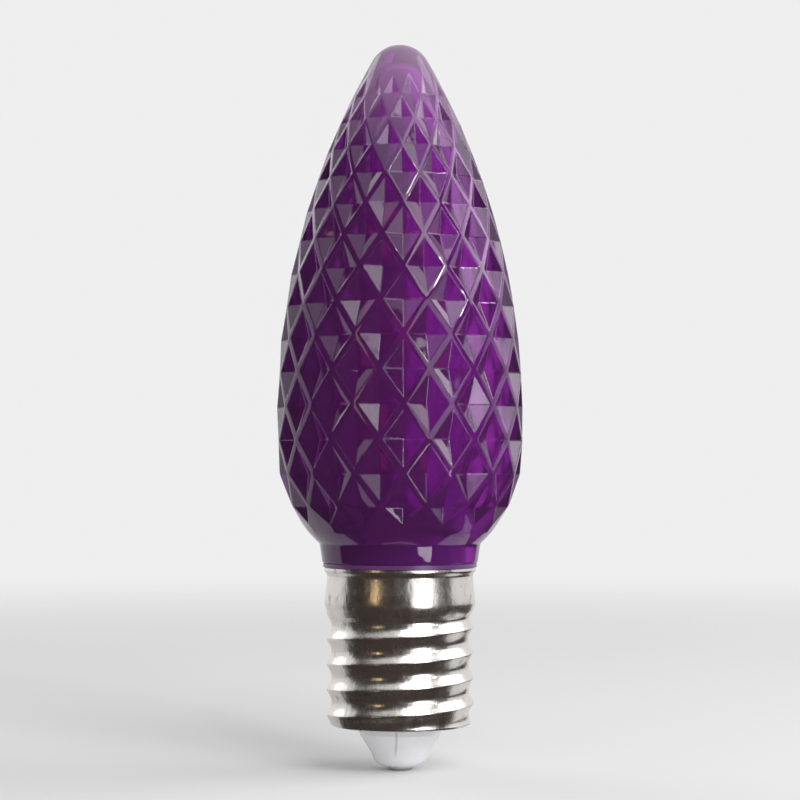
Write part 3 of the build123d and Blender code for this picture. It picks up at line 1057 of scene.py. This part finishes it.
@dataclass
class Studio:
    """Pale floor, dark cloths, soft lamps and the camera, in metres and degrees."""

    scale: float = 8880.0
    frame_pixels: float = 800.0
    distance: float = 0.225
    camera_height: float = 0.0327
    aim_height: float = 0.04133
    sensor: float = 36.0
    clip_start: float = 0.01
    floor_rings: tuple = (0.0, 0.05, 0.1, 0.2, 0.4, 1.2)
    floor_columns: int = 64
    floor_colour: tuple = (0.87, 0.87, 0.87, 1.0)
    fade_from: float = 0.10
    fade_to: float = 0.45
    pale: float = 0.86
    daylight: float = 0.42
    cloth_radius: float = 0.62
    cloth_near: float = 0.0092
    cloth_folds: tuple = (0.03, 0.2)
    cloth_height: float = 0.0006
    cloth_top: float = 0.70
    cloth_colour: tuple = (0.062, 0.050, 0.046, 1.0)
    cloth_columns: int = 40
    front_span: tuple = (-93, 86)
    back_span: tuple = (-192, -93)
    side_span: tuple = (86, 142)
    side_radii: tuple = (0.034, 0.2)

    def camera(self) -> None:
        """Level camera on the -Y side, aimed a little up as in the photo."""
        data = bpy.data.cameras.new("camera")
        data.sensor_width = self.sensor
        data.lens = self.sensor * self.distance * self.scale / self.frame_pixels
        data.clip_start = self.clip_start
        eye = bpy.data.objects.new("camera", data)
        eye.location = (0, -self.distance, self.camera_height)
        lift = math.atan2(self.aim_height - self.camera_height, self.distance)
        eye.rotation_euler = (math.pi / 2 + lift, 0, 0)
        bpy.context.scene.collection.objects.link(eye)
        bpy.context.scene.camera = eye

    def floor(self) -> None:
        """Round pale floor that fades into the pale surroundings."""
        rings = np.array(self.floor_rings) / MM
        profile = np.stack([rings, np.zeros_like(rings)], -1)
        columns = self.floor_columns
        points = turned_points(profile[1:], columns)
        faces = grid_faces(len(profile) - 1, columns)[:, ::-1].tolist()
        step = np.arange(columns)
        hub = np.full(columns, len(points))
        faces += np.stack([step, (step + 1) % columns, hub], -1).tolist()
        floor = mesh_object("floor", np.vstack([points, [[0, 0, 0]]]), faces)
        n = Nodes("pale_floor")
        matt = n.add("ShaderNodeBsdfDiffuse")
        matt.inputs["Color"].default_value = self.floor_colour
        clear = n.add("ShaderNodeBsdfTransparent")
        far = n.add("ShaderNodeVectorMath", operation="LENGTH")
        n.link(n.place(), far.inputs[0])
        fade = n.add("ShaderNodeMapRange", interpolation_type="SMOOTHSTEP")
        fade.inputs["From Min"].default_value = self.fade_from
        fade.inputs["From Max"].default_value = self.fade_to
        n.link(far.outputs["Value"], fade.inputs["Value"])
        mix = n.add("ShaderNodeMixShader")
        n.link(fade.outputs["Result"], mix.inputs[0])
        n.link(matt.outputs[0], mix.inputs[1])
        n.link(clear.outputs[0], mix.inputs[2])
        n.link(mix.outputs[0], n.output.inputs["Surface"])
        floor.data.materials.append(n.material)

    def dark_cloth(self, name: str, span: tuple, profile: list, seen: tuple) -> None:
        """Dark cloth round part of the bulb, seen only in gloss or through the plastic.

        A profile of radius and height is carried round the bulb in equal steps of angle.

        Args:
            name: Name of the cloth.
            span: Where it starts and ends, in degrees from the camera's side towards +X.
            profile: Pairs of radius and height, from the bulb outwards.
            seen: Whether it shows in gloss, and whether it shows through the plastic.
        """
        columns, rows = self.cloth_columns, len(profile)
        angle = np.radians(np.linspace(span[0] - 90, span[1] - 90, columns + 1))
        radius, height = (np.array(values)[:, None] for values in zip(*profile))
        points = np.stack([radius * np.cos(angle), radius * np.sin(angle), height + 0 * angle], -1)
        row, column = np.meshgrid(np.arange(rows - 1), np.arange(columns), indexing="ij")
        here = row * (columns + 1) + column
        above = here + columns + 1
        faces = np.stack([here, here + 1, above + 1, above], -1).reshape(-1, 4)
        cloth = mesh_object(name, points.reshape(-1, 3) / MM, faces.tolist())
        n = Nodes(name)
        matt = n.add("ShaderNodeBsdfDiffuse")
        matt.inputs["Color"].default_value = self.cloth_colour
        n.link(matt.outputs[0], n.output.inputs["Surface"])
        cloth.data.materials.append(n.material)
        cloth.visible_camera = False
        cloth.visible_diffuse = False
        cloth.visible_shadow = False
        cloth.visible_glossy, cloth.visible_transmission = seen

    def world(self) -> None:
        """Pale surroundings, brighter to the eye and in gloss and glass than as daylight."""
        world = bpy.data.worlds.new("studio")
        bpy.context.scene.world = world
        world.use_nodes = True
        tree = world.node_tree
        back = tree.nodes["Background"]
        back.inputs["Color"].default_value = (1, 1, 1, 1)
        rays = tree.nodes.new("ShaderNodeLightPath")
        seen = rays.outputs[Space.CAMERA.value]
        for kind in (Space.GLOSSY, Space.TRANSMISSION):
            either = tree.nodes.new("ShaderNodeMath")
            either.operation = "MAXIMUM"
            tree.links.new(seen, either.inputs[0])
            tree.links.new(rays.outputs[kind.value], either.inputs[1])
            seen = either.outputs[0]
        level = tree.nodes.new("ShaderNodeMapRange")
        level.inputs["To Min"].default_value = self.daylight
        level.inputs["To Max"].default_value = self.pale
        tree.links.new(seen, level.inputs["Value"])
        tree.links.new(level.outputs["Result"], back.inputs["Strength"])

    def build(self) -> None:
        """Lays the floor and the cloths, hangs the lamps and sets the camera."""
        bpy.context.scene.view_settings.view_transform = "Standard"
        self.floor()
        low = self.cloth_height
        lying = [(radius, low) for radius in (self.cloth_near, *self.cloth_folds, self.cloth_radius)]
        tall = [*lying, (self.cloth_radius, self.cloth_top)]
        side = [(radius, low) for radius in self.side_radii]
        self.dark_cloth("front_cloth", self.front_span, tall, (True, True))
        self.dark_cloth("back_cloth", self.back_span, tall, (False, True))
        self.dark_cloth("side_cloth", self.side_span, side, (True, False))
        self.world()
        for lamp in LAMPS:
            lamp.hang(self.aim_height)
        self.camera()


def dress(node: str, material: bpy.types.Material) -> None:
    """Gives a solid of the frame its finish.

    Args:
        node: Name of the solid.
        material: The finish.
    """
    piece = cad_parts[node]
    piece.data.materials.clear()
    piece.data.materials.append(material)
    log.info("solid %s dressed as %s", node, material.name)


def stand_for(piece: bpy.types.Object, node: str, material: bpy.types.Material) -> None:
    """Lets a new piece stand for a solid, with its finish.

    Args:
        piece: The new piece.
        node: The solid that it replaces.
        material: The finish.
    """
    piece.data.materials.append(material)
    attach(piece, BODY)
    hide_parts(node)
    log.info("piece %s stands for %s", piece.name, node)


def solid_finishes() -> dict:
    """Finishes of the solids that are dressed as they are.

    Returns:
        A finish for each word that the solids' names hold.
    """
    return {
        # The holder is one plastic. Its lip is darker than the part above as painted shade in the gap
        # between lens and shell.
        "base_holder": Moulded(
            "purple_holder", (0.30, 0.12, 0.40, 1), (0.24, 0.09, 0.32, 1), 0.3,
            mark=Mark.LIP_SHADE, mark_colour=(0.11, 0.035, 0.15, 1)),
        "_solder": Plated("solder", (0.62, 0.62, 0.63, 1), (0.40, 0.40, 0.40, 1), 0.3, 0.5),
        "_lead": Plated(
            "tinned_wire", (0.66, 0.64, 0.61, 1), (0.42, 0.38, 0.33, 1), 0.28, 0.5, Bands.UPRIGHT),
        "circuit_board": Moulded(
            "board_mask", (0.24, 0.23, 0.22, 1), (0.19, 0.18, 0.18, 1), 0.35,
            mark=Mark.TRACKS, mark_colour=(0.34, 0.31, 0.24, 1)),
        "led_": Moulded("led_case", (0.86, 0.80, 0.58, 1), (0.80, 0.70, 0.40, 1), 0.3, 2600.0),
        "bridge_rectifier": Moulded(
            "rectifier_case", (0.030, 0.030, 0.032, 1), (0.020, 0.020, 0.021, 1), 0.5,
            3200.0, 0.00004),
        "smoothing_capacitor": Moulded(
            "capacitor_sleeve", (0.03, 0.05, 0.12, 1), (0.02, 0.03, 0.08, 1), 0.22, 900.0),
        "resistor_": Moulded(
            "resistor_chip", (0.05, 0.05, 0.05, 1), (0.03, 0.03, 0.03, 1), 0.4, 4000.0, 0.00003),
    }


def main() -> None:
    """Builds the pieces in order, dresses the solids and sets the stage."""
    logging.basicConfig(level=logging.INFO, format="%(message)s")
    nickel = Plated("nickel_plate", (0.73, 0.70, 0.67, 1), (0.34, 0.29, 0.25, 1), 0.17, 0.42,
                    stain_from=0.60)
    tin = Plated("tinned_brass", (0.74, 0.73, 0.70, 1), (0.40, 0.38, 0.35, 1), 0.25, 0.45)
    # The pale cone's grey line is painted shade of a narrow groove.
    pale = Moulded("pale_cone", (0.90, 0.90, 0.93, 1), (0.82, 0.83, 0.87, 1), 0.16,
                   subsurface=0.25, mark=Mark.GROOVE_SHADE, mark_colour=(0.60, 0.60, 0.62, 1))
    stand_for(Lens().build(), "lens", ClearPurple().build())
    stand_for(ScrewShell().build(), "screw_shell", nickel.build())
    stand_for(Insulator().build(), "insulator", pale.build())
    stand_for(Contact().build(), "centre_contact", tin.build())
    for word, finish in solid_finishes().items():
        material = finish.build()
        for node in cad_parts:
            if word in node:
                dress(node, material)
    Studio().build()


if __name__ == "__main__":
    main()
